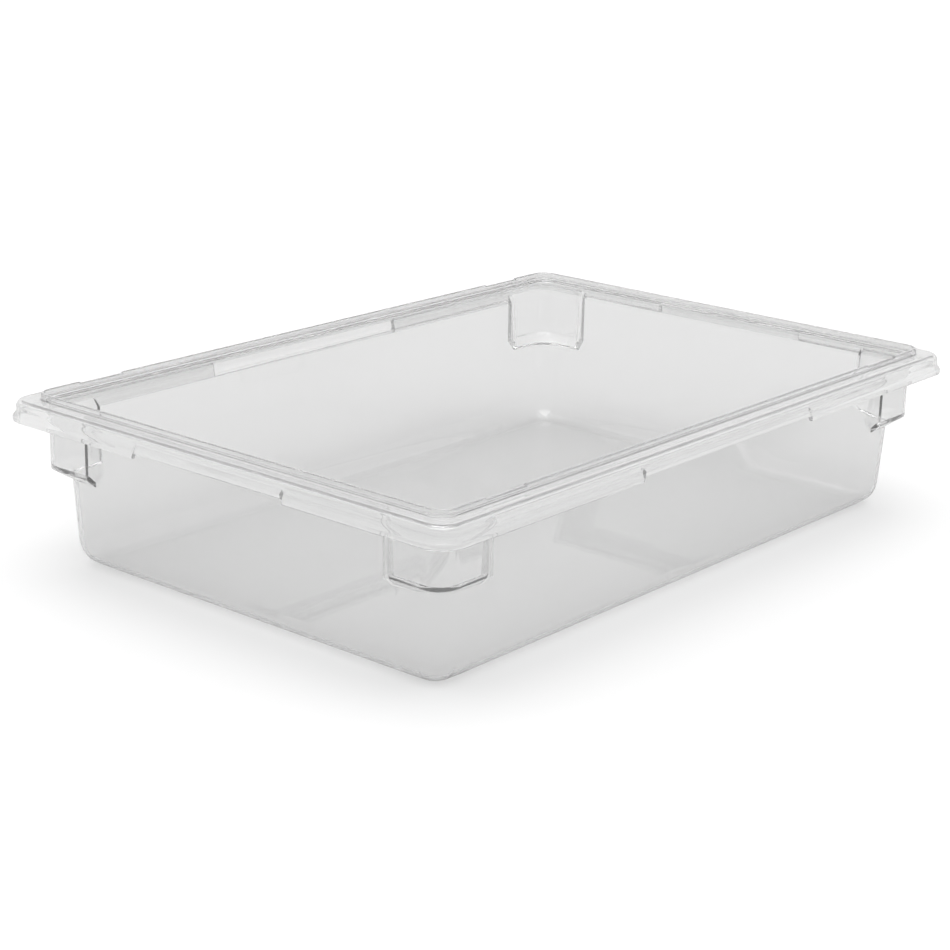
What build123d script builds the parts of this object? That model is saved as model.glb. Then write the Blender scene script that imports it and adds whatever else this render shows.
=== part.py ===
from build123d import *
import math
import os

os.makedirs("parts", exist_ok=True)

# ---------------------------------------------------------------- driving sizes, mm
length = 660.4            # over the rim bead, along X (26 in)
width = 457.2             # over the rim bead, along Y (18 in)
height = 140.0            # base to the top of the lid ridge
wall = 3.0                # moulded wall thickness
draft = math.radians(4.0) # taper of the body walls

# Rim, each distance measured inwards from the outermost edge
corner_zone = 75.0        # length of every corner's stacking shoulder along both sides
rim_axis = 22.0           # centre of the corner arcs of the flange, skirt and bead
flange_top = 134.8
flange_under = flange_top - wall
flange_edge = 3.0
flange_edge_radius = 5.0
roll_foot = flange_top - flange_edge_radius - 0.7
mouth_inset = 24.2        # inner edge of the rim, where the mouth begins
mouth_radius = 13.0
ridge_outer = 18.2
ridge_inner = 21.2
ridge_round = 1.2
ridge_axis = 31.0         # centre of the ridge's corner arcs

# Skirt that hangs from the flange, ending in an outward bead
skirt_bottom = 118.6
grip_rise = 4.0           # the skirt is this much shorter over each hand grip
grip_half_long = 110.6
grip_half_short = 76.0

# Recess under the rim between the shoulders, where fingers go
shelf_foot_long = 118.6
shelf_head_long = 125.6
shelf_foot_short = 124.6
shelf_head_short = 129.6

# Body walls
wall_at_shelf = 26.0      # inset of the outer face at shelf_foot_long
body_axis = 56.3          # centre of the body's corner arcs
floor_radius = 22.0
base_top = 24.0           # where the rolled base ends and the plain wall begins

# Stacking shoulders
shoulder_face = mouth_inset - wall
shoulder_radius = mouth_radius + wall
shoulder_foot = 72.6
shoulder_bottom = 80.0
shoulder_inner_rise = 2.8 # the ledge's inner face lies this much above its outer face

corner_x = length / 2 - corner_zone
corner_y = width / 2 - corner_zone


def outer_inset(z):
    """Inset of the body wall's outer face at height z."""
    return wall_at_shelf + (shelf_foot_long - z) * math.tan(draft)


def inner_inset(z):
    return outer_inset(z) + wall


# ---------------------------------------------------------------- shape helpers
def slab(inset, radius, z):
    """A rounded rectangle at height z, the given distance inside the outermost edge."""
    return Pos(0, 0, z) * RectangleRounded(length - 2 * inset, width - 2 * inset, radius)


def frustum(bottom, top):
    """The solid between two rounded rectangles, each given as (inset, radius, z)."""
    return loft([slab(*bottom), slab(*top)], ruled=True)


def block(x_range, y_range, z_range):
    sizes = [r[1] - r[0] for r in (x_range, y_range, z_range)]
    centre = [(r[1] + r[0]) / 2 for r in (x_range, y_range, z_range)]
    return Pos(*centre) * Box(*sizes)


def outline_on(side, at, points, rounds=()):
    """A closed outline of (inset, z) points on the back (+Y) or right (+X) side."""
    if side == "long":
        placed = [Vector(at, width / 2 - inset, z) for inset, z in points]
    else:
        placed = [Vector(length / 2 - inset, at, z) for inset, z in points]
    face = make_face(Polyline(*placed, close=True))
    for index, radius in rounds:
        corner = face.vertices().sort_by_distance(placed[index])[0]
        face = fillet(corner, radius)
    return face


def rail(side, start, end, points, rounds=()):
    """The outline carried straight along the side from start to end."""
    direction = (1, 0, 0) if side == "long" else (0, 1, 0)
    return extrude(outline_on(side, start, points, rounds), amount=end - start, dir=direction)


def bend(points, axis_inset, rounds=()):
    """The outline turned through the right-back corner."""
    turn_x = length / 2 - axis_inset
    turn_y = width / 2 - axis_inset
    face = outline_on("long", turn_x, points, rounds)
    return revolve(face, Axis((turn_x, turn_y, 0), (0, 0, -1)), 90)


def corner_run(points, axis_inset, rounds=()):
    """The outline along both legs of the right-back corner zone and round its corner."""
    along_x = rail("long", corner_x, length / 2 - axis_inset, points, rounds)
    along_y = rail("short", corner_y, width / 2 - axis_inset, points, rounds)
    return along_x + along_y + bend(points, axis_inset, rounds)


# ---------------------------------------------------------------- zones, quarter by quarter
far = length
long_zone = ((-corner_x, corner_x), (corner_y, far))
short_zone = ((corner_x, far), (-corner_y, corner_y))
corner_zone_xy = ((corner_x, far), (corner_y, far))
floor_zone = ((-corner_x, corner_x), (-corner_y, corner_y))


def cut(solid, zone, z_low, z_high):
    return solid & block(zone[0], zone[1], (z_low, z_high))


# ---------------------------------------------------------------- body: floor, base and walls
def body_shell():
    outer = frustum(
        (outer_inset(0), body_axis - outer_inset(0), 0),
        (outer_inset(shelf_foot_short), body_axis - outer_inset(shelf_foot_short), shelf_foot_short),
    )
    outer = fillet(outer.faces().sort_by(Axis.Z)[0].edges(), floor_radius)
    inner = frustum(
        (inner_inset(wall), body_axis - inner_inset(wall), wall),
        (inner_inset(shelf_foot_short), body_axis - inner_inset(shelf_foot_short), shelf_foot_short),
    )
    inner = fillet(inner.faces().sort_by(Axis.Z)[0].edges(), floor_radius - wall)
    return outer - inner


# ---------------------------------------------------------------- stacking shoulder
def shoulder_outer():
    foot = (outer_inset(shoulder_foot), body_axis - outer_inset(shoulder_foot), shoulder_foot)
    ledge = frustum(foot, (shoulder_face, shoulder_radius, shoulder_bottom))
    face = frustum(
        (shoulder_face, shoulder_radius, shoulder_bottom),
        (shoulder_face, shoulder_radius, flange_under),
    )
    return ledge + face


def shoulder_inner():
    low = shoulder_foot + shoulder_inner_rise
    high = shoulder_bottom + shoulder_inner_rise
    throat = frustum(
        (inner_inset(shoulder_foot), body_axis - inner_inset(shoulder_foot), shoulder_foot),
        (inner_inset(low), body_axis - inner_inset(low), low),
    )
    ledge = frustum(
        (inner_inset(low), body_axis - inner_inset(low), low),
        (mouth_inset, mouth_radius, high),
    )
    pocket = frustum((mouth_inset, mouth_radius, high), (mouth_inset, mouth_radius, flange_under))
    return throat + ledge + pocket


def shoulder_end(side):
    """The upright web that closes a shoulder's end against the recessed wall."""
    shelf_foot = shelf_foot_long if side == "long" else shelf_foot_short
    shelf_head = shelf_head_long if side == "long" else shelf_head_short
    start = corner_x if side == "long" else corner_y
    outline = [
        (shoulder_face, flange_under),
        (shoulder_face, shoulder_bottom),
        (outer_inset(shoulder_foot), shoulder_foot),
        (inner_inset(shoulder_foot), shoulder_foot),
        (inner_inset(shelf_foot), shelf_foot),
        (mouth_inset, shelf_head),
        (mouth_inset, flange_under),
    ]
    return rail(side, start, start + wall, outline)


def stacking_shoulder():
    ring = shoulder_outer() - shoulder_inner()
    corner = cut(ring, corner_zone_xy, shoulder_foot, flange_under)
    return corner + shoulder_end("long") + shoulder_end("short")


# ---------------------------------------------------------------- grip recess
def grip_recess(side):
    """The upright band under the mouth and the sloped shelf that leads in to the wall."""
    shelf_foot = shelf_foot_long if side == "long" else shelf_foot_short
    shelf_head = shelf_head_long if side == "long" else shelf_head_short
    half = corner_x if side == "long" else corner_y
    outline = [
        (inner_inset(shelf_foot), shelf_foot),
        (mouth_inset, shelf_head),
        (mouth_inset, flange_under),
        (shoulder_face, flange_under),
        (shoulder_face, shelf_head - wall / 2),
        (outer_inset(shelf_foot), shelf_foot),
    ]
    return rail(side, -half, half, outline)


# ---------------------------------------------------------------- rim
def flange_plate():
    """The flange without its mouth, its outer edge rolled over towards the skirt."""
    plate = frustum(
        (flange_edge, rim_axis - flange_edge, roll_foot),
        (flange_edge, rim_axis - flange_edge, flange_top),
    )
    return fillet(plate.faces().sort_by(Axis.Z)[-1].edges(), flange_edge_radius)


def flange_ring():
    mouth = frustum((mouth_inset, mouth_radius, 0), (mouth_inset, mouth_radius, height))
    return flange_plate() - mouth


def skirt_outline(rise):
    """The skirt's section with its bead, carried up through the flange's edge."""
    bottom = skirt_bottom + rise
    return [
        (flange_edge + wall, flange_top),
        (flange_edge, flange_top),
        (flange_edge, bottom + 9.5),
        (1.8, bottom + 5.2),
        (0.0, bottom + 3.6),
        (0.0, bottom + 1.0),
        (0.9, bottom),
        (3.6, bottom),
        (4.6, bottom + 4.4),
        (flange_edge + wall, bottom + 9.0),
    ]


def under_flange(skirt_run, zone):
    """The part of a skirt below the flange, rounded at its top like the flange's edge."""
    room = flange_plate() + block(zone[0], zone[1], (0, roll_foot))
    return cut(skirt_run & room, zone, 0, flange_under)


def skirt(side):
    """One side's skirt, shorter over the hand grip in its middle."""
    half = corner_x if side == "long" else corner_y
    grip = grip_half_long if side == "long" else grip_half_short
    run = rail(side, -half, -grip, skirt_outline(0))
    run += rail(side, -grip, grip, skirt_outline(grip_rise))
    run += rail(side, grip, half, skirt_outline(0))
    return under_flange(run, long_zone if side == "long" else short_zone)


def skirt_corner():
    return under_flange(corner_run(skirt_outline(0), rim_axis), corner_zone_xy)


ridge_outline = [
    (ridge_inner, flange_top),
    (ridge_inner, height),
    (ridge_outer, height),
    (ridge_outer, flange_top),
]
ridge_rounds = [(1, ridge_round), (2, ridge_round)]


# ---------------------------------------------------------------- every zone of the moulding
body = body_shell()
flange = flange_ring()

nodes = {"floor_panel": cut(body, floor_zone, 0, wall)}


def both_long(name, solid):
    nodes[name + "_back"] = solid
    nodes[name + "_front"] = mirror(solid, about=Plane.XZ)


def both_short(name, solid):
    nodes[name + "_right"] = solid
    nodes[name + "_left"] = mirror(solid, about=Plane.YZ)


def four_corners(name, solid):
    nodes[name + "_back_right"] = solid
    nodes[name + "_back_left"] = mirror(solid, about=Plane.YZ)
    nodes[name + "_front_right"] = mirror(solid, about=Plane.XZ)
    nodes[name + "_front_left"] = Rot(0, 0, 180) * solid


both_long("base_roll", cut(body, long_zone, 0, base_top))
both_short("base_roll", cut(body, short_zone, 0, base_top))
four_corners("base_corner", cut(body, corner_zone_xy, 0, base_top))

both_long("wall", cut(body, long_zone, base_top, shelf_foot_long))
both_short("wall", cut(body, short_zone, base_top, shelf_foot_short))
four_corners("corner_post", cut(body, corner_zone_xy, base_top, shoulder_foot))

four_corners("stacking_shoulder", stacking_shoulder())
both_long("grip_recess", grip_recess("long"))
both_short("grip_recess", grip_recess("short"))

both_long("flange", cut(flange, long_zone, flange_under, flange_top))
both_short("flange", cut(flange, short_zone, flange_under, flange_top))
four_corners("flange_corner", cut(flange, corner_zone_xy, flange_under, flange_top))

both_long("lid_ridge", rail("long", -corner_x, corner_x, ridge_outline, ridge_rounds))
both_short("lid_ridge", rail("short", -corner_y, corner_y, ridge_outline, ridge_rounds))
four_corners("ridge_corner", corner_run(ridge_outline, ridge_axis, ridge_rounds))

both_long("skirt", skirt("long"))
both_short("skirt", skirt("short"))
four_corners("skirt_corner", skirt_corner())

for name, solid in nodes.items():
    solids = solid.solids()
    export_step(solids[0] if len(solids) == 1 else Compound(solids), f"parts/{name}.step")
    print(name, round(solid.volume / 1000, 2), "cm3")
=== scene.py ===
"""Clear moulded food pan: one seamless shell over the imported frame, on a plain studio floor."""

import math

import bmesh
import bpy
from bpy.props import FloatProperty, IntProperty, PointerProperty
from mathutils import Matrix, Vector


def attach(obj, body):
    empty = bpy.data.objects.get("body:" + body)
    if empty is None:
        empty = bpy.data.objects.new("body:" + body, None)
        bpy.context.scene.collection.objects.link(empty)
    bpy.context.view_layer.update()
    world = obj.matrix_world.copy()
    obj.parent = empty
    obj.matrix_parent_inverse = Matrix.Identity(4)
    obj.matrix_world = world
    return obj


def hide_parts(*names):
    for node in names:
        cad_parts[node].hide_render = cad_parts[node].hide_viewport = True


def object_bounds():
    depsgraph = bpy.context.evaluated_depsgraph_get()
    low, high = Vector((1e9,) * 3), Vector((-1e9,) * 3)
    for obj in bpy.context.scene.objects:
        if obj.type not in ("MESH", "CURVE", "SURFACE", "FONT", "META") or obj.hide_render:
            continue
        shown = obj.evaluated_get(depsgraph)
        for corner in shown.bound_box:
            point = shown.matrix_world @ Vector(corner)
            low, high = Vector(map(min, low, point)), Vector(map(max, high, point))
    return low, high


bl_info = {
    "name": "Clear food pan",
    "version": (1, 0, 0),
    "blender": (4, 5, 0),
    "location": "3D View > Sidebar > Food Pan",
    "description": "Models a clear moulded food pan and its studio",
    "category": "Object",
}

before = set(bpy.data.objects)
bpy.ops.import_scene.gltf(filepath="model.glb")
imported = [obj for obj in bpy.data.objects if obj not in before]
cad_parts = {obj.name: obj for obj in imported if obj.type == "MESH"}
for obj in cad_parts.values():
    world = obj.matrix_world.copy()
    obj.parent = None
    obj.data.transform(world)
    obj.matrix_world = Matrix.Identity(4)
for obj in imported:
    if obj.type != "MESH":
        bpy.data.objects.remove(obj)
cad_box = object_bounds()
length, width, height = cad_box[1] - cad_box[0]
MM = 0.001

# Rings of the skirt, upwards from the bead's widest point, and of the bead, downwards from
# there and up the skirt's back. Each has its inset and its height above the skirt's foot, in
# mm, and the share of the grip's rise that it takes.
SKIRT_RINGS = ((0.0, 3.6, 1), (0.5, 4.5, 1), (1.8, 5.6, 1), (2.8, 7.4, 0.8), (3.0, 9.5, 0.35))
BEAD_RINGS = (
    (0.0, 1.0, 1), (0.3, 0.3, 1), (1.0, 0.0, 1), (2.9, 0.0, 1), (3.6, 0.4, 1),
    (4.6, 4.4, 0.85), (6.0, 9.0, 0.4),
)
GRIP_RAMP = 1.2 * MM
WEB_ROUND = 0.4 * MM

# The lower stretch of the lid ridge beside each shoulder of the long sides.
DIP_START = 224.0 * MM
DIP_END = 268.0 * MM
DIP_RAMP = 0.6 * MM
DIP_DEPTH = 1.2 * MM

# The shelf on the short sides is steeper and higher than on the long sides.
SHORT_HEAD_RISE = 4.0 * MM
SHORT_FOOT_RISE = 6.0 * MM

# How clear the plastic is, how light its tint, how it bends light and how wavy its skin is.
# A ray is tinted by its first few surfaces only, and goes straight on after a few more.
BODY_CLARITY, BODY_TINT = 0.93, 0.96
# The rim is a lighter, hazier copy of the same plastic: painted light, standing in for the
# brightness that the light gives the rim.
RIM_PAINTED_LIGHT_CLARITY, RIM_PAINTED_LIGHT_TINT = 0.87, 1.0
REFRACTION = 1.585
WAVE_STRENGTH = 0.08
WAVE_DEPTH = 0.6 * MM
LAST_TINTED_BOUNCE = 3
LAST_BENT_BOUNCE = 5
LAMPLIGHT_AT_BASE, LAMPLIGHT_IN_WALL = 0.86, 0.77

PAPER_UNDER_PAN = 0.725
PAPER_IN_VIEW = 0.93

# Where the camera looks, as a height on the pan's axis and a slide right and up from there.
AIM_HEIGHT = 0.0636
AIM_RIGHT = 0.00261
AIM_UP = -0.01437
CAMERA_SHIFT = -0.03


# ---------------------------------------------------------------- settings
def size(name, description, millimetres):
    return FloatProperty(
        name=name, description=description, default=millimetres * MM, unit="LENGTH"
    )


class PanSizes(bpy.types.PropertyGroup):
    """Sizes of the moulding. An inset is measured inwards from the rim's outermost edge."""

    wall: size("Wall", "Thickness of the moulding", 3.0)
    draft: FloatProperty(
        name="Draft", description="Taper of the walls", default=math.radians(4.0), subtype="ANGLE"
    )
    rim_axis: size("Rim corner centre", "Inset of the centre of the rim's corner arcs", 22.0)
    ridge_axis: size("Ridge corner centre", "Inset of the centre of the ridge's corner arcs", 31.0)
    mouth_axis: size("Mouth corner centre", "Inset of the centre of the mouth's corner arcs", 37.2)
    body_axis: size("Body corner centre", "Inset of the centre of the body's corner arcs", 56.3)
    mouth_inset: size("Mouth", "Inset of the edge of the mouth", 24.2)
    wall_inset: size("Wall inset", "Inset of the wall's outer face at the shelf's foot", 26.0)
    flange_top: size("Flange height", "Height of the flange's top face", 134.8)
    skirt_bottom: size("Skirt foot", "Height of the underside of the skirt's bead", 118.6)
    grip_rise: size("Grip rise", "How much shorter the skirt is over each hand grip", 4.0)
    grip_half_long: size("Long grip", "Half the length of the grip on a long side", 110.6)
    grip_half_short: size("Short grip", "Half the length of the grip on a short side", 76.0)
    shoulder_length: size("Shoulder length", "Length of a stacking shoulder on each side", 75.0)
    shoulder_bottom: size("Shoulder height", "Height of the outer top edge of the ledge", 80.0)
    shoulder_foot: size("Ledge foot", "Height where the outer ledge meets the wall", 72.6)
    ledge_round: size("Ledge rounding", "Radius above and below the shoulder's ledge", 1.2)
    shelf_foot: size("Shelf foot", "Height of the foot of the shelf on the long sides", 118.6)
    shelf_head: size("Shelf head", "Height of the head of the shelf on the long sides", 125.6)
    floor_radius: size("Base roll", "Outer radius between the walls and the floor", 22.0)
    corner_segments: IntProperty(
        name="Corner segments", description="Segments in every corner arc", default=16, min=4
    )


class StudioSettings(bpy.types.PropertyGroup):
    """The camera's place and the strength of the studio lights."""

    azimuth: FloatProperty(
        name="Azimuth", description="Direction of the camera round the pan",
        default=math.radians(-50.491), subtype="ANGLE",
    )
    elevation: FloatProperty(
        name="Elevation", description="Height of the camera above the horizon",
        default=math.radians(17.557), subtype="ANGLE",
    )
    roll: FloatProperty(
        name="Roll", description="Tilt of the camera about its line of sight",
        default=math.radians(1.448), subtype="ANGLE",
    )
    distance: FloatProperty(
        name="Distance", description="Camera to the middle of the pan", default=1.85244,
        unit="LENGTH",
    )
    lens: FloatProperty(name="Lens", description="Focal length in millimetres", default=84.89)
    horizon: FloatProperty(
        name="Horizon", description="Strength of the studio's light near the horizon", default=0.82
    )
    ceiling: FloatProperty(
        name="Ceiling", description="Strength of the studio's light overhead", default=2.3
    )
    sun: FloatProperty(name="Key", description="Strength of the soft key light", default=0.3)


# ---------------------------------------------------------------- modelling helpers
def start_piece(name, add_primitive):
    """Adds a primitive alone in the selection and opens it in edit mode."""
    if bpy.context.mode != "OBJECT":
        bpy.ops.object.mode_set(mode="OBJECT")
    bpy.ops.object.select_all(action="DESELECT")
    add_primitive()
    piece = bpy.context.object
    piece.name = name
    piece.data.name = name
    bpy.ops.object.transform_apply(location=True, rotation=True, scale=True)
    bpy.ops.object.mode_set(mode="EDIT")
    return piece


def select_only(piece, kind, test):
    """Selects the vertices, edges or faces of the open piece that pass the test."""
    bpy.ops.mesh.select_all(action="DESELECT")
    bpy.ops.mesh.select_mode(type={"verts": "VERT", "edges": "EDGE", "faces": "FACE"}[kind])
    mesh = bmesh.from_edit_mesh(piece.data)
    found = 0
    for element in getattr(mesh, kind):
        if test(element):
            element.select_set(True)
            found += 1
    mesh.select_flush_mode()
    bmesh.update_edit_mesh(piece.data)
    if not found:
        raise RuntimeError(f"nothing to select on {piece.name}")


class Rings:
    """Draws one end face of a slab inwards, ring after ring."""

    def __init__(self, piece, upward, inset, z, axis):
        self.piece = piece
        self.upward = upward
        self.inset = inset
        self.z = z
        self.axis = axis
        sign = 1 if upward else -1
        select_only(piece, "faces", lambda f: f.normal.z * sign > 0.9 and len(f.verts) > 8)

    def to(self, inset, z):
        """Insets the end face to this inset and moves it to this height."""
        if inset - self.inset < 1e-6:
            bpy.ops.mesh.extrude_region_move(
                TRANSFORM_OT_translate={"value": (0, 0, z - self.z)}
            )
        else:
            rise = z - self.z
            bpy.ops.mesh.inset(
                thickness=inset - self.inset, depth=rise if self.upward else -rise
            )
        self.inset = inset
        self.z = z

    def along(self, points):
        for inset, z in points:
            self.to(inset, z)

    def turn_corners(self, axis):
        """Gives the end face's corners their arcs about new centres, at the same inset."""
        mesh = bmesh.from_edit_mesh(self.piece.data)
        mesh.verts.index_update()
        face = next(f for f in mesh.faces if f.select)
        rim = {v.index for v in face.verts}
        growth = (axis - self.inset) / (self.axis - self.inset)
        shift = axis - self.axis
        for sx in (-1, 1):
            for sy in (-1, 1):
                centre = (sx * (length / 2 - self.axis), sy * (width / 2 - self.axis), self.z)
                select_only(
                    self.piece,
                    "verts",
                    lambda v: v.index in rim and v.co.x * sx > 0 and v.co.y * sy > 0,
                )
                bpy.ops.transform.resize(value=(growth, growth, 1), center_override=centre)
                bpy.ops.transform.translate(value=(-sx * shift, -sy * shift, 0))
        self.axis = axis
        select_only(self.piece, "faces", lambda f: {v.index for v in f.verts} == rim)


def arc(centre, radius, start, end, steps):
    """Points of an (inset, z) arc, its ends included."""
    turns = [start + (end - start) * i / steps for i in range(steps + 1)]
    return [
        (centre[0] + radius * math.cos(t), centre[1] + radius * math.sin(t)) for t in turns
    ]


def rounded(before, corner, after, radius, steps=3):
    """Points that round off one corner of an (inset, z) outline."""
    before, corner, after = Vector(before), Vector(corner), Vector(after)
    back, ahead = (before - corner).normalized(), (after - corner).normalized()
    half = back.angle(ahead) / 2
    centre = corner + (back + ahead).normalized() * radius / math.sin(half)
    first = corner + back * radius / math.tan(half)
    turn = (math.pi - 2 * half) * (1 if back.cross(ahead) < 0 else -1)
    return [
        tuple(centre + Matrix.Rotation(turn * i / steps, 2) @ (first - centre))
        for i in range(steps + 1)
    ]


def cut_across(piece, axis, places):
    """Bisects the whole open piece with upright planes at each of the places."""
    for place in places:
        for sign in (-1, 1):
            point = Vector((0, 0, 0))
            point[axis] = sign * place
            normal = Vector((0, 0, 0))
            normal[axis] = 1
            bpy.ops.mesh.select_all(action="SELECT")
            bpy.ops.mesh.bisect(plane_co=point, plane_no=normal)


def shift_run(piece, axis, half, ring, inward, up, start=0):
    """Moves one ring's run from start to half, on both sides that lie along the axis."""
    inset, z = ring
    edge = (width if axis == 0 else length) / 2
    for sign in (-1, 1):
        select_only(
            piece,
            "verts",
            lambda v: start - 1e-5 < abs(v.co[axis]) < half + 1e-5
            and abs(v.co.z - z) < 1e-4
            and abs(edge - inset - v.co[1 - axis] * sign) < 1e-4,
        )
        move = Vector((0, 0, up))
        move[1 - axis] = -sign * inward
        bpy.ops.transform.translate(value=move)


def finish_piece(piece):
    """Closes up the piece and shades it smooth, its flat faces kept flat."""
    bpy.ops.mesh.select_all(action="SELECT")
    bpy.ops.mesh.remove_doubles(threshold=1e-6)
    bpy.ops.mesh.normals_make_consistent(inside=False)
    bpy.ops.object.mode_set(mode="OBJECT")
    bpy.ops.object.shade_smooth_by_angle(angle=math.radians(32))
    modifier = piece.modifiers.new("Weighted normals", "WEIGHTED_NORMAL")
    modifier.keep_sharp = True
    modifier.weight = 100
    bpy.ops.object.modifier_apply(modifier=modifier.name)


# ---------------------------------------------------------------- materials
def ranged(nodes, links, source, low, high, start=0.0, end=1.0):
    """Maps a texture's value from the start-end range to the low-high range."""
    node = nodes.new("ShaderNodeMapRange")
    node.inputs["From Min"].default_value = start
    node.inputs["From Max"].default_value = end
    node.inputs["To Min"].default_value = low
    node.inputs["To Max"].default_value = high
    links.new(source, node.inputs["Value"])
    return node.outputs["Result"]


def noise(nodes, links, where, scale, detail, stretch=(1, 1, 1), turn=0.0):
    place = nodes.new("ShaderNodeMapping")
    place.inputs["Scale"].default_value = stretch
    place.inputs["Rotation"].default_value = (0, 0, turn)
    links.new(where, place.inputs["Vector"])
    texture = nodes.new("ShaderNodeTexNoise")
    texture.inputs["Scale"].default_value = scale
    texture.inputs["Detail"].default_value = detail
    links.new(place.outputs["Vector"], texture.inputs["Vector"])
    return texture.outputs["Fac"]


def maths(nodes, links, operation, first, second):
    node = nodes.new("ShaderNodeMath")
    node.operation = operation
    for socket, value in zip(node.inputs, (first, second)):
        if isinstance(value, (int, float)):
            socket.default_value = value
        else:
            links.new(value, socket)
    return node.outputs["Value"]


def moulded_skin():
    """The shared finish of the moulding: cloudy haze, hairline scratches and slight waves."""
    group = bpy.data.node_groups.new("moulded_skin", "ShaderNodeTree")
    nodes, links = group.nodes, group.links
    for name, default in (("Tint", 0.96), ("Haze", 0.01), ("Scratches", 0.02)):
        socket = group.interface.new_socket(name, in_out="INPUT", socket_type="NodeSocketFloat")
        socket.default_value = default
    for name, kind in (("Colour", "Color"), ("Roughness", "Float"), ("Height", "Float")):
        group.interface.new_socket(name, in_out="OUTPUT", socket_type="NodeSocket" + kind)
    given = nodes.new("NodeGroupInput").outputs
    result = nodes.new("NodeGroupOutput").inputs

    where = nodes.new("ShaderNodeTexCoord").outputs["Object"]
    clouds = noise(nodes, links, where, 14, 3)
    scuffs = noise(nodes, links, where, 46, 4, stretch=(1, 9, 1), turn=0.5)
    more_scuffs = noise(nodes, links, where, 52, 4, stretch=(8, 1, 1), turn=-0.25)
    hairlines = maths(
        nodes, links, "MAXIMUM",
        ranged(nodes, links, scuffs, 0, 1, 0.66, 0.72),
        ranged(nodes, links, more_scuffs, 0, 1, 0.67, 0.73),
    )
    haze = maths(
        nodes, links, "MULTIPLY", given["Haze"], ranged(nodes, links, clouds, 1, 2.5, 0.3, 0.7)
    )
    scratches = maths(nodes, links, "MULTIPLY", hairlines, given["Scratches"])
    cloudy = ranged(nodes, links, clouds, 1, 0.992, 0.3, 0.7)
    links.new(maths(nodes, links, "MULTIPLY", cloudy, given["Tint"]), result["Colour"])
    links.new(maths(nodes, links, "ADD", haze, scratches), result["Roughness"])
    links.new(noise(nodes, links, where, 9, 2), result["Height"])
    return group


def clear_plastic(name, skin, clarity, tint):
    """Clear polycarbonate in the shared finish, of this clarity and grey level."""
    material = bpy.data.materials.new(name)
    material.use_nodes = True
    nodes = material.node_tree.nodes
    links = material.node_tree.links
    nodes.clear()
    out = nodes.new("ShaderNodeOutputMaterial")
    body = nodes.new("ShaderNodeBsdfPrincipled")
    body.inputs["IOR"].default_value = REFRACTION
    body.inputs["Transmission Weight"].default_value = clarity

    finish = nodes.new("ShaderNodeGroup")
    finish.node_tree = skin
    finish.inputs["Tint"].default_value = tint
    links.new(finish.outputs["Roughness"], body.inputs["Roughness"])
    bump = nodes.new("ShaderNodeBump")
    bump.inputs["Strength"].default_value = WAVE_STRENGTH
    bump.inputs["Distance"].default_value = WAVE_DEPTH
    links.new(finish.outputs["Height"], bump.inputs["Height"])
    links.new(bump.outputs["Normal"], body.inputs["Normal"])

    # Light from lamps goes straight through, less of it higher up the walls.
    lamps = nodes.new("ShaderNodeBsdfTransparent")
    parts = nodes.new("ShaderNodeSeparateXYZ")
    where = nodes.new("ShaderNodeTexCoord").outputs["Object"]
    links.new(where, parts.inputs["Vector"])
    passed = ranged(
        nodes, links, parts.outputs["Z"], LAMPLIGHT_AT_BASE, LAMPLIGHT_IN_WALL, 0.004, 0.02
    )
    links.new(passed, lamps.inputs["Color"])
    path = nodes.new("ShaderNodeLightPath")
    # After a few surfaces the plastic stops tinting, so thick edges stay light.
    shade = nodes.new("ShaderNodeMix")
    shade.data_type = "RGBA"
    shade.inputs["B"].default_value = (1, 1, 1, 1)
    links.new(finish.outputs["Colour"], shade.inputs["A"])
    deep = maths(nodes, links, "GREATER_THAN", path.outputs["Ray Depth"], LAST_TINTED_BOUNCE)
    links.new(deep, shade.inputs["Factor"])
    links.new(shade.outputs["Result"], body.inputs["Base Color"])
    from_floor = maths(
        nodes, links, "MAXIMUM", path.outputs["Is Shadow Ray"], path.outputs["Is Diffuse Ray"]
    )
    trapped = maths(nodes, links, "GREATER_THAN", path.outputs["Ray Depth"], LAST_BENT_BOUNCE)
    straight = maths(nodes, links, "MAXIMUM", from_floor, trapped)
    mix = nodes.new("ShaderNodeMixShader")
    links.new(straight, mix.inputs["Fac"])
    links.new(body.outputs["BSDF"], mix.inputs[1])
    links.new(lamps.outputs["BSDF"], mix.inputs[2])
    links.new(mix.outputs["Shader"], out.inputs["Surface"])
    return material


def studio_floor():
    """Pale paper, a little darker through the plastic and in what it lights than beside it."""
    material = bpy.data.materials.new("studio_floor")
    material.use_nodes = True
    nodes = material.node_tree.nodes
    links = material.node_tree.links
    body = nodes["Principled BSDF"]
    body.inputs["Roughness"].default_value = 0.9
    body.inputs["Specular IOR Level"].default_value = 0.1
    path = nodes.new("ShaderNodeLightPath")
    paper = nodes.new("ShaderNodeMix")
    paper.data_type = "RGBA"
    paper.inputs["A"].default_value = (*[PAPER_UNDER_PAN] * 3, 1)
    paper.inputs["B"].default_value = (*[PAPER_IN_VIEW] * 3, 1)
    links.new(path.outputs["Is Camera Ray"], paper.inputs["Factor"])
    links.new(paper.outputs["Result"], body.inputs["Base Color"])
    return material


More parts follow.
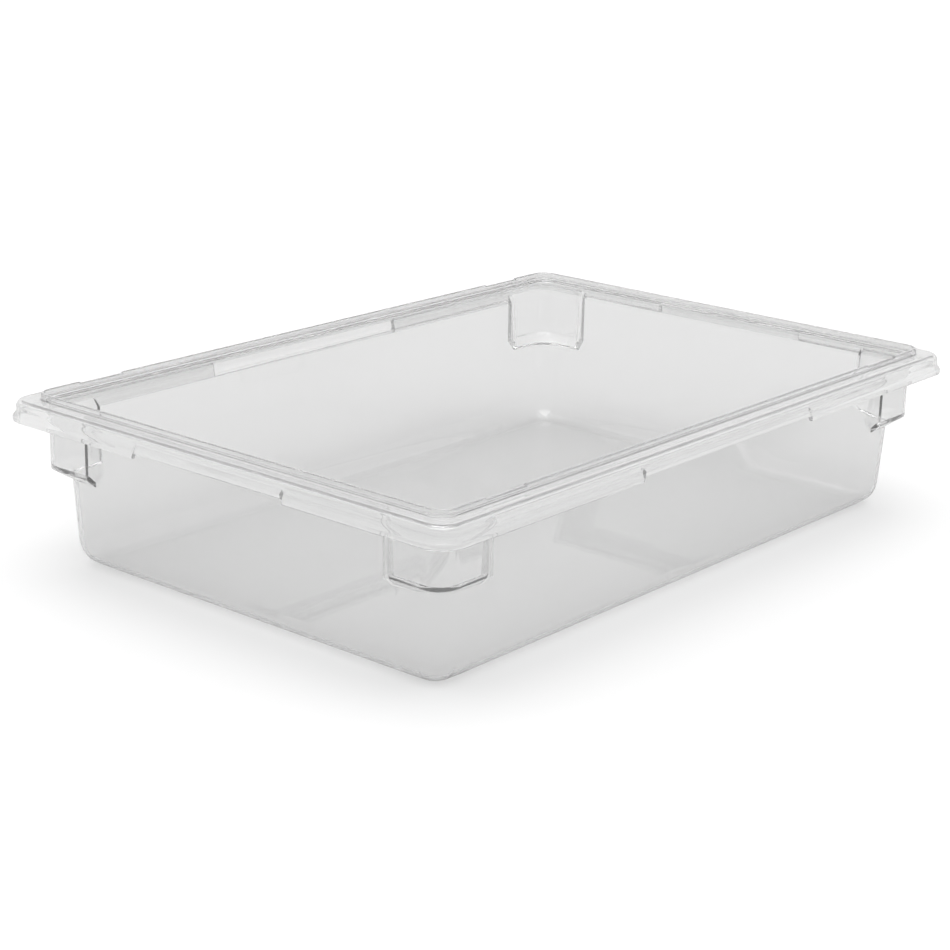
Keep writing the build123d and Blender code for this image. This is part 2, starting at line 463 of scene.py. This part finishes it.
# ---------------------------------------------------------------- the moulding
class FOODPAN_OT_moulding(bpy.types.Operator):
    """Models the whole pan as one seamless moulding"""

    bl_idname = "foodpan.moulding"
    bl_label = "Pan moulding"

    def outer_inset(self, z):
        return self.s.wall_inset + (self.s.shelf_foot - z) * math.tan(self.s.draft)

    def inner_inset(self, z):
        return self.outer_inset(z) + self.s.wall

    def base_roll(self, inset_at, radius, floor):
        """The arc from the tapered wall round to the floor."""
        centre_z = floor + radius
        start_z = centre_z - radius * math.sin(self.s.draft)
        centre = (inset_at(start_z) + radius * math.cos(self.s.draft), centre_z)
        return arc(centre, radius, math.pi + self.s.draft, math.pi * 1.5, 10)

    def on_rim(self, face):
        """True for the faces of the skirt, the flange and the lid ridge, which get the rim's
        lighter copy of the plastic with its painted light.
        """
        place = face.calc_center_median()
        inset = min(length / 2 - abs(place.x), width / 2 - abs(place.y))
        return inset < self.s.mouth_inset - 1.1 * self.s.wall or place.z > self.s.flange_top

    def ledge(self, inset_at, face, top, foot, radius):
        """The rounded ledge of a shoulder, as its upper and its lower rounding."""
        above, edge = (face, top + 30 * MM), (face, top)
        low, below = (inset_at(foot), foot), (inset_at(foot - 30 * MM), foot - 30 * MM)
        return rounded(above, edge, low, radius), rounded(edge, low, below, radius)

    def blank(self):
        """The slab at the height of the bead, with the rim's round corners."""
        s = self.s
        low, high = (s.skirt_bottom + rings[0][1] * MM for rings in (BEAD_RINGS, SKIRT_RINGS))
        pan = start_piece(
            "pan",
            lambda: bpy.ops.mesh.primitive_cube_add(
                size=1, location=(0, 0, (low + high) / 2), scale=(length, width, high - low)
            ),
        )
        select_only(
            pan, "edges", lambda e: abs(e.verts[0].co.z - e.verts[1].co.z) > 0.001
        )
        bpy.ops.mesh.bevel(
            offset=s.rim_axis, segments=s.corner_segments, affect="EDGES", clamp_overlap=False
        )
        return pan, low, high

    def draw_inside(self, pan, start):
        """Upwards and inwards: skirt, flange, lid ridge, mouth, inner wall and floor."""
        s = self.s
        flange = s.flange_top
        top = Rings(pan, True, 0, start, s.rim_axis)
        for inset, z, _ in SKIRT_RINGS[1:]:
            top.to(inset * MM, s.skirt_bottom + z * MM)
        top.along(arc((8.0 * MM, flange - 5.0 * MM), 5.0 * MM, math.pi, math.pi / 2, 6))
        top.to(17.0 * MM, flange)
        top.turn_corners(s.ridge_axis)
        top.along(arc((17.0 * MM, flange + 1.2 * MM), 1.2 * MM, -math.pi / 2, 0, 3)[1:])
        ridge_top = height - 1.2 * MM
        self.ridge = arc((19.4 * MM, ridge_top), 1.2 * MM, math.pi, math.pi / 2, 4)
        self.ridge += arc((20.0 * MM, ridge_top), 1.2 * MM, math.pi / 2, 0, 4)
        top.along(self.ridge)
        top.to(21.2 * MM, flange + 0.6 * MM)
        top.to(21.4 * MM, flange + 0.2 * MM)
        top.to(21.8 * MM, flange)
        top.to(s.mouth_inset - 1.0 * MM, flange)
        top.turn_corners(s.mouth_axis)
        top.along(
            arc((s.mouth_inset - 1.0 * MM, flange - 1.0 * MM), 1.0 * MM, math.pi / 2, 0, 3)[1:]
        )
        drop = 2.8 * MM
        self.upper_in, self.lower_in = self.ledge(
            self.inner_inset, s.mouth_inset, s.shoulder_bottom + drop, s.shoulder_foot + drop,
            s.ledge_round,
        )
        top.to(s.mouth_inset, s.shelf_head)
        self.draw_body(top, s.mouth_inset, self.upper_in, self.lower_in)
        top.along(self.base_roll(self.inner_inset, s.floor_radius - s.wall, s.wall))

    def draw_outside(self, pan, start):
        """Downwards and inwards: bead, back of the skirt, shoulder, outer wall and base."""
        s = self.s
        under = s.flange_top - s.wall
        low = Rings(pan, False, 0, start, s.rim_axis)
        for inset, z, _ in BEAD_RINGS[1:]:
            low.to(inset * MM, s.skirt_bottom + z * MM)
        low.along(arc((8.0 * MM, under - 2.0 * MM), 2.0 * MM, math.pi, math.pi / 2, 3))
        low.to(self.shoulder - 1.5 * MM, under)
        low.turn_corners(s.mouth_axis)
        low.along(
            arc((self.shoulder - 1.5 * MM, under - 1.5 * MM), 1.5 * MM, math.pi / 2, 0, 3)[1:]
        )
        self.upper_out, self.lower_out = self.ledge(
            self.outer_inset, self.shoulder, s.shoulder_bottom, s.shoulder_foot, s.ledge_round
        )
        low.to(self.shoulder, self.head_out)
        self.draw_body(low, self.shoulder, self.upper_out, self.lower_out)
        low.along(self.base_roll(self.outer_inset, s.floor_radius, 0))

    def draw_body(self, rings, face, upper, lower):
        """From the shoulder's upright face over its ledge to the tapered body."""
        rings.to(face, self.s.shelf_foot)
        rings.along(upper)
        rings.to(*lower[0])
        rings.turn_corners(self.s.body_axis)
        rings.along(lower[1:])

    def cut_ends(self, pan):
        """Cuts across the shell where the shoulders end, the skirt steps up and the ridge dips."""
        for axis in (0, 1):
            end, grip = self.ends[axis], self.grips[axis]
            inner = end + self.s.wall
            cut_across(
                pan, axis,
                (grip, grip + GRIP_RAMP, end - WEB_ROUND, end + WEB_ROUND,
                 inner - WEB_ROUND, inner + WEB_ROUND),
            )
        cut_across(
            pan, 0, (DIP_START, DIP_START + DIP_RAMP, DIP_END - DIP_RAMP, DIP_END)
        )

    def dip_ridge(self, pan):
        """Lowers the lid ridge for a short way next to each shoulder of the long sides."""
        for ring in self.ridge:
            shift_run(
                pan, 0, DIP_END - DIP_RAMP, ring, 0, -DIP_DEPTH, start=DIP_START + DIP_RAMP
            )

    def set_back_wall(self, pan, axis, rise_head, rise_foot):
        """Between the shoulders the wall stands back, under a sloped shelf."""
        s = self.s
        inner_half = self.ends[axis] + s.wall - WEB_ROUND
        outer_half = self.ends[axis] - WEB_ROUND
        foot = s.shelf_foot + rise_foot
        if rise_head:
            shift_run(pan, axis, inner_half, (s.mouth_inset, s.shelf_head), 0, rise_head)
            shift_run(pan, axis, outer_half, (self.shoulder, self.head_out), 0, rise_head)
        shift_run(
            pan, axis, inner_half, (s.mouth_inset, s.shelf_foot),
            self.inner_inset(foot) - s.mouth_inset, rise_foot,
        )
        shift_run(
            pan, axis, outer_half, (self.shoulder, s.shelf_foot),
            self.outer_inset(foot) - self.shoulder, rise_foot,
        )
        for half, wall_inset, rings in (
            (inner_half, self.inner_inset, self.upper_in + self.lower_in[:-1]),
            (outer_half, self.outer_inset, self.upper_out + self.lower_out[:-1]),
        ):
            for inset, z in rings:
                shift_run(pan, axis, half, (inset, z), wall_inset(z) - inset, 0)

    def shorten_skirt(self, pan, axis):
        """The skirt and its bead are shorter over the hand grip."""
        for inset, z, share in (*reversed(SKIRT_RINGS), *BEAD_RINGS):
            ring = (inset * MM, self.s.skirt_bottom + z * MM)
            shift_run(pan, axis, self.grips[axis], ring, 0, share * self.s.grip_rise)

    def execute(self, context):
        self.s = s = context.scene.pan_sizes
        self.shoulder = s.mouth_inset - s.wall
        self.head_out = s.shelf_head - 1.5 * MM
        self.ends = (length / 2 - s.shoulder_length, width / 2 - s.shoulder_length)
        self.grips = (s.grip_half_long, s.grip_half_short)

        pan, bead_low, bead_high = self.blank()
        self.draw_inside(pan, bead_high)
        self.draw_outside(pan, bead_low)
        self.cut_ends(pan)
        self.dip_ridge(pan)
        for axis, rises in ((0, (0, 0)), (1, (SHORT_HEAD_RISE, SHORT_FOOT_RISE))):
            self.set_back_wall(pan, axis, *rises)
            self.shorten_skirt(pan, axis)

        finish_piece(pan)
        skin = moulded_skin()
        # The rim faces get the lighter copy of the plastic, painted light in place of the
        # brightness they catch.
        for name, clarity, tint in (
            ("clear_polycarbonate", BODY_CLARITY, BODY_TINT),
            ("clear_polycarbonate_rim", RIM_PAINTED_LIGHT_CLARITY, RIM_PAINTED_LIGHT_TINT),
        ):
            pan.data.materials.append(clear_plastic(name, skin, clarity, tint))
        bpy.ops.object.mode_set(mode="EDIT")
        select_only(pan, "faces", self.on_rim)
        pan.active_material_index = 1
        bpy.ops.object.material_slot_assign()
        bpy.ops.object.mode_set(mode="OBJECT")
        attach(pan, "root")
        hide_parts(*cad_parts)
        return {"FINISHED"}


# ---------------------------------------------------------------- studio
class FOODPAN_OT_stage(bpy.types.Operator):
    """Adds the floor, the soft lights and the camera"""

    bl_idname = "foodpan.stage"
    bl_label = "Studio"

    def surround(self, studio):
        """Soft light from all round, even near the horizon and stronger overhead."""
        world = bpy.data.worlds.new("studio")
        world.use_nodes = True
        nodes = world.node_tree.nodes
        links = world.node_tree.links
        way = nodes.new("ShaderNodeTexCoord").outputs["Generated"]
        parts = nodes.new("ShaderNodeSeparateXYZ")
        links.new(way, parts.inputs["Vector"])
        rise = ranged(
            nodes, links, parts.outputs["Z"], studio.horizon, studio.ceiling, 0.8, 1.0
        )
        links.new(rise, nodes["Background"].inputs["Strength"])
        nodes["Background"].inputs["Color"].default_value = (1, 1, 1, 1)
        return world

    def execute(self, context):
        studio = context.scene.studio
        floor = start_piece(
            "floor",
            lambda: bpy.ops.mesh.primitive_circle_add(
                vertices=96, radius=30, fill_type="NGON", location=(0, 0, -0.0004)
            ),
        )
        bpy.ops.object.mode_set(mode="OBJECT")
        floor.data.materials.append(studio_floor())
        context.scene.world = self.surround(studio)

        bpy.ops.object.light_add(type="SUN", location=(0, 0, 3))
        sun = context.object
        sun.name = "overhead"
        sun.data.energy = studio.sun
        sun.data.angle = math.radians(60)

        a, e = studio.azimuth, studio.elevation
        right = Vector((math.cos(a), math.sin(a), 0))
        back = Vector((math.sin(a) * math.cos(e), -math.cos(a) * math.cos(e), math.sin(e)))
        up = back.cross(right)
        roll = Matrix.Rotation(studio.roll, 3, back)
        right, up = roll @ right, roll @ up
        bpy.ops.object.camera_add()
        camera = context.object
        camera.name = "camera"
        turned = Matrix((right, up, back)).transposed()
        aim = Vector((0, 0, AIM_HEIGHT)) + right * AIM_RIGHT + up * AIM_UP
        camera.matrix_world = (
            Matrix.Translation(aim + back * studio.distance) @ turned.to_4x4()
        )
        camera.data.sensor_width = 36
        camera.data.lens = studio.lens
        camera.data.shift_x = CAMERA_SHIFT
        camera.data.clip_end = 100
        context.scene.camera = camera
        context.scene.view_settings.view_transform = "Standard"
        return {"FINISHED"}


class FOODPAN_PT_panel(bpy.types.Panel):
    """Lists the steps that make the pan and its studio"""

    bl_idname = "FOODPAN_PT_panel"
    bl_label = "Food Pan"
    bl_space_type = "VIEW_3D"
    bl_region_type = "UI"
    bl_category = "Food Pan"

    def draw(self, context):
        layout = self.layout
        for step in STEPS:
            layout.operator(step.bl_idname)
        for group in (context.scene.pan_sizes, context.scene.studio):
            box = layout.box()
            for key in group.__annotations__:
                box.prop(group, key)


STEPS = (FOODPAN_OT_moulding, FOODPAN_OT_stage)
CLASSES = (PanSizes, StudioSettings, *STEPS, FOODPAN_PT_panel)


def register():
    for cls in CLASSES:
        bpy.utils.register_class(cls)
    bpy.types.Scene.pan_sizes = PointerProperty(type=PanSizes)
    bpy.types.Scene.studio = PointerProperty(type=StudioSettings)


def unregister():
    del bpy.types.Scene.studio
    del bpy.types.Scene.pan_sizes
    for cls in reversed(CLASSES):
        bpy.utils.unregister_class(cls)


def main():
    register()
    bpy.ops.foodpan.moulding()
    bpy.ops.foodpan.stage()


if __name__ == "__main__":
    main()
